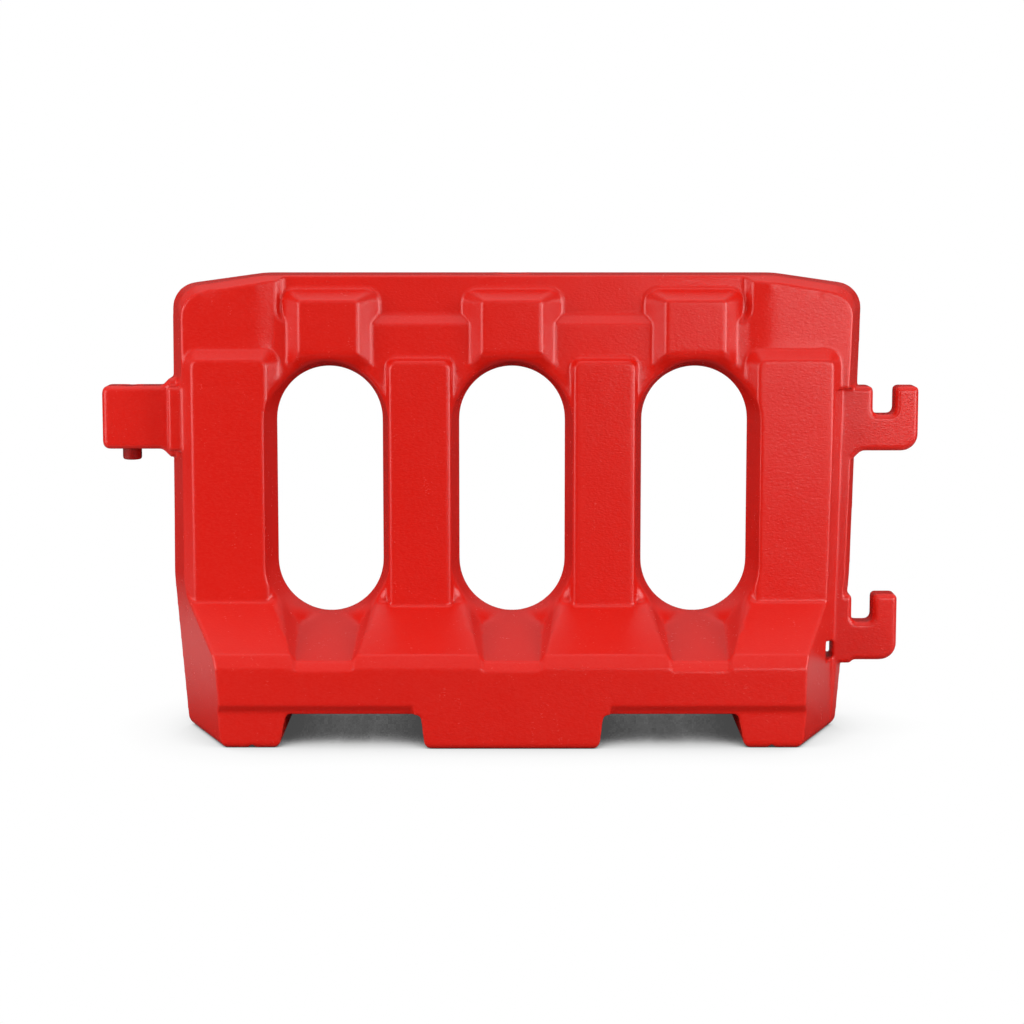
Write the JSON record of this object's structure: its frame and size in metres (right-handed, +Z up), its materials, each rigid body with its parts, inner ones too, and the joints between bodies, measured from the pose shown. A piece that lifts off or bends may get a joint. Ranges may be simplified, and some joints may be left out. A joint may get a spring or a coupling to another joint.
{
  "type": "road barrier",
  "caption": "Hollow plastic road barrier with tall windows, a flared water-filled base with fork slots, upward coupling hooks, and a lug with a lift-out coupling pin.",
  "frame": {"origin": "on the ground under the middle of the body and of the middle window, on the parting plane", "axes": "+X along the length towards the hooks, +Y towards the rear (drain) side, +Z up"},
  "size_m": [1.414, 0.412, 0.796],
  "materials": {
    "red_polyethylene": "satin moulded polyethylene with a fine leathery grain",
    "red_pin_plastic": "satin moulded",
    "red_fitting_plastic": "satin moulded",
    "black_cap_plastic": "satin moulded",
    "seal_rubber": "matte"
  },
  "bodies": {
    "barrier": {"front_half_shell": "red_polyethylene", "rear_half_shell": "red_polyethylene", "filler_neck": "red_fitting_plastic", "drain_bush": "red_fitting_plastic"},
    "pin": {"coupling_pin": "red_pin_plastic"},
    "filler_seal": {"filler_gasket": "seal_rubber"},
    "filler_lid": {"filler_cap": "black_cap_plastic"},
    "drain_seal": {"drain_gasket": "seal_rubber"},
    "drain_screw": {"drain_plug": "black_cap_plastic"}
  },
  "joints": [
    {"name": "pin_lift", "type": "slide", "parent": "barrier", "child": "pin", "axis": [0, 0, 1], "range_m": [0, 0.12]},
    {"name": "filler_lift", "type": "slide", "parent": "barrier", "child": "filler_seal", "axis": [0, 0, 1], "range_m": [0, 0.015]},
    {"name": "filler_turn", "type": "hinge", "parent": "filler_seal", "child": "filler_lid", "pos_m": [0, 0, 0.79], "axis": [0, 0, 1], "range_deg": [0, 1080]},
    {"name": "drain_travel", "type": "slide", "parent": "barrier", "child": "drain_seal", "axis": [0, 1, 0], "range_m": [0, 0.012]},
    {"name": "drain_turn", "type": "hinge", "parent": "drain_seal", "child": "drain_screw", "pos_m": [0, 0.2, 0.036], "axis": [0, 1, 0], "range_deg": [0, 1440]}
  ],
  "couplings": [
    {"joint": "filler_turn", "follows": "filler_lift", "rad_per_m": 1256.6},
    {"joint": "drain_turn", "follows": "drain_travel", "rad_per_m": 2094.4}
  ]
}
